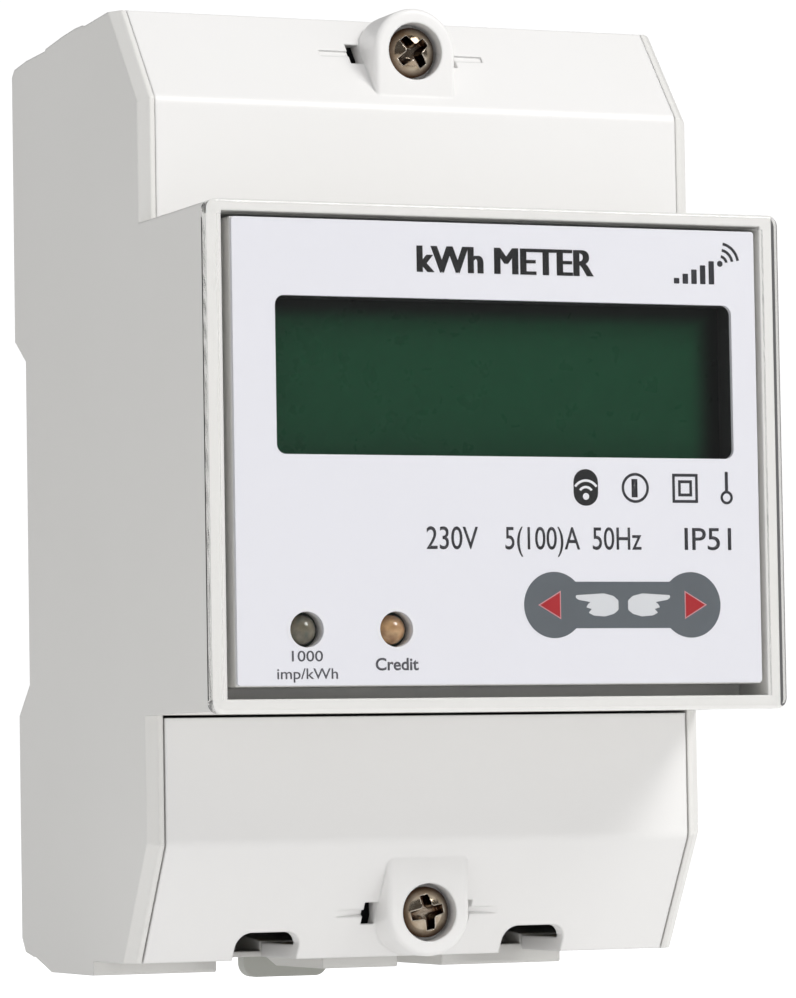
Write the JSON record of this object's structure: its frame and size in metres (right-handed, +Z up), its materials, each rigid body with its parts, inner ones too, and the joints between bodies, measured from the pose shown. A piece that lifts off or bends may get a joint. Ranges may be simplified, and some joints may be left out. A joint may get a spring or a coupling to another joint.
{
  "type": "smart electricity meter",
  "caption": "Rail-mounted single-phase smart electricity meter with a clear-covered display block, screwed terminal covers above and below, and a sprung rail latch.",
  "frame": {"origin": "centre of the flat seat that rests on the front of the mounting rail, at the rail's centre height", "axes": "+Z up, +Y back towards the rail so that the display faces -Y, +X to the right as seen from the front"},
  "size_m": [0.076, 0.074, 0.1235],
  "materials": {
    "white_case": "satin moulded ABS, fine spark texture",
    "rear_case": "matt moulded ABS",
    "cover_case": "satin moulded ABS",
    "clear_plastic": "clear polycarbonate, polished",
    "nameplate_print": "printed polycarbonate film, satin",
    "lcd_green": "dark green display glass",
    "nickel_screw": "nickel-plated steel, lightly tarnished",
    "zinc_screw": "zinc-plated steel",
    "spring_steel": "bright spring wire",
    "latch_plastic": "moulded nylon",
    "terminal_plastic": "glass-filled nylon, dark grey",
    "auxiliary_plastic": "green moulded nylon",
    "brass": "machined brass",
    "copper": "bare rolled copper",
    "relay_plastic": "black PBT",
    "board_green": "solder mask on glass epoxy",
    "chip_black": "moulded epoxy",
    "tinned_metal": "tinned sheet metal",
    "capacitor_sleeve": "shrink sleeve",
    "varistor_coat": "epoxy coating",
    "battery_sleeve": "printed shrink sleeve, plain",
    "transformer_yellow": "winding tape and ferrite",
    "white_plastic": "reflector plastic",
    "black_rubber": "foam gasket",
    "elastomer": "layered silicone",
    "lamp_red": "diffused epoxy lens",
    "lamp_amber": "diffused epoxy lens",
    "card_plastic": "plain card",
    "foil": "flexible printed foil",
    "wire_black": "insulated wire"
  },
  "bodies": {
    "meter_case": {"antenna": "foil", "antenna_lead": "wire_black", "auxiliary_terminal_block": "auxiliary_plastic", "auxiliary_terminal_screws": "zinc_screw", "backup_battery": "battery_sleeve", "board_connector": "relay_plastic", "board_spacers": "white_plastic", "bottom_terminal_block": "terminal_plastic", "case_screws": "zinc_screw", "clear_cover": "clear_plastic", "communication_board": "board_green", "cover_screw_inserts": "brass", "credit_led": "lamp_amber", "current_transformer": "relay_plastic", "display_board": "board_green", "display_board_screws": "zinc_screw", "elastomer_connectors": "elastomer", "filter_capacitors": "capacitor_sleeve", "insert_carriers": "terminal_plastic", "latch_spring": "spring_steel", "latching_relay": "relay_plastic", "lcd_backlight": "white_plastic", "lcd_gasket": "black_rubber", "lcd_glass": "lcd_green", "line_in_terminal": "brass", "line_out_terminal": "brass", "main_board": "board_green", "main_board_screws": "zinc_screw", "main_housing": "white_case", "metering_chip": "chip_black", "modem_module": "tinned_metal", "nameplate": "nameplate_print", "neutral_busbar": "copper", "neutral_in_terminal": "brass", "neutral_out_terminal": "brass", "power_transformer": "transformer_yellow", "processor_chip": "chip_black", "pulse_led": "lamp_red", "quartz_crystal": "tinned_metal", "rear_cover": "rear_case", "relay_line_strap": "copper", "relay_load_strap": "copper", "shunt": "copper", "shunt_sense_wires": "wire_black", "sim_card": "card_plastic", "sim_holder": "tinned_metal", "surge_varistor": "varistor_coat", "top_terminal_block": "terminal_plastic", "touch_springs": "spring_steel"},
    "din_latch": {"din_latch": "latch_plastic"},
    "top_terminal_cover": {"top_terminal_cover": "cover_case"},
    "bottom_terminal_cover": {"bottom_terminal_cover": "cover_case"},
    "top_cover_screw": {"top_cover_screw": "nickel_screw"},
    "bottom_cover_screw": {"bottom_cover_screw": "nickel_screw"},
    "line_in_set_screw": {"line_in_set_screw": "zinc_screw"},
    "line_out_set_screw": {"line_out_set_screw": "zinc_screw"},
    "neutral_in_set_screw": {"neutral_in_set_screw": "zinc_screw"},
    "neutral_out_set_screw": {"neutral_out_set_screw": "zinc_screw"}
  },
  "joints": [
    {"name": "latch_pull", "type": "slide", "parent": "meter_case", "child": "din_latch", "axis": [0, 0, -1], "range_m": [0, 0.005], "stiffness_N_per_m": 900, "springref_m": -0.004, "deforming": ["latch_spring"]},
    {"name": "top_cover_lift_off", "type": "slide", "parent": "meter_case", "child": "top_terminal_cover", "axis": [0, -1, 0], "range_m": [0, 0.04]},
    {"name": "bottom_cover_lift_off", "type": "slide", "parent": "meter_case", "child": "bottom_terminal_cover", "axis": [0, -1, 0], "range_m": [0, 0.04]},
    {"name": "top_screw_turn", "type": "hinge", "parent": "top_terminal_cover", "child": "top_cover_screw", "pos_m": [0, -0.0434, 0.0534], "axis": [0, 1, 0], "continuous": true},
    {"name": "bottom_screw_turn", "type": "hinge", "parent": "bottom_terminal_cover", "child": "bottom_cover_screw", "pos_m": [0, -0.0434, -0.0554], "axis": [0, 1, 0], "continuous": true},
    {"name": "line_in_clamp", "type": "slide", "parent": "meter_case", "child": "line_in_set_screw", "axis": [0, 1, 0], "range_m": [0, 0.006]},
    {"name": "line_out_clamp", "type": "slide", "parent": "meter_case", "child": "line_out_set_screw", "axis": [0, 1, 0], "range_m": [0, 0.006]},
    {"name": "neutral_in_clamp", "type": "slide", "parent": "meter_case", "child": "neutral_in_set_screw", "axis": [0, 1, 0], "range_m": [0, 0.006]},
    {"name": "neutral_out_clamp", "type": "slide", "parent": "meter_case", "child": "neutral_out_set_screw", "axis": [0, 1, 0], "range_m": [0, 0.006]}
  ]
}
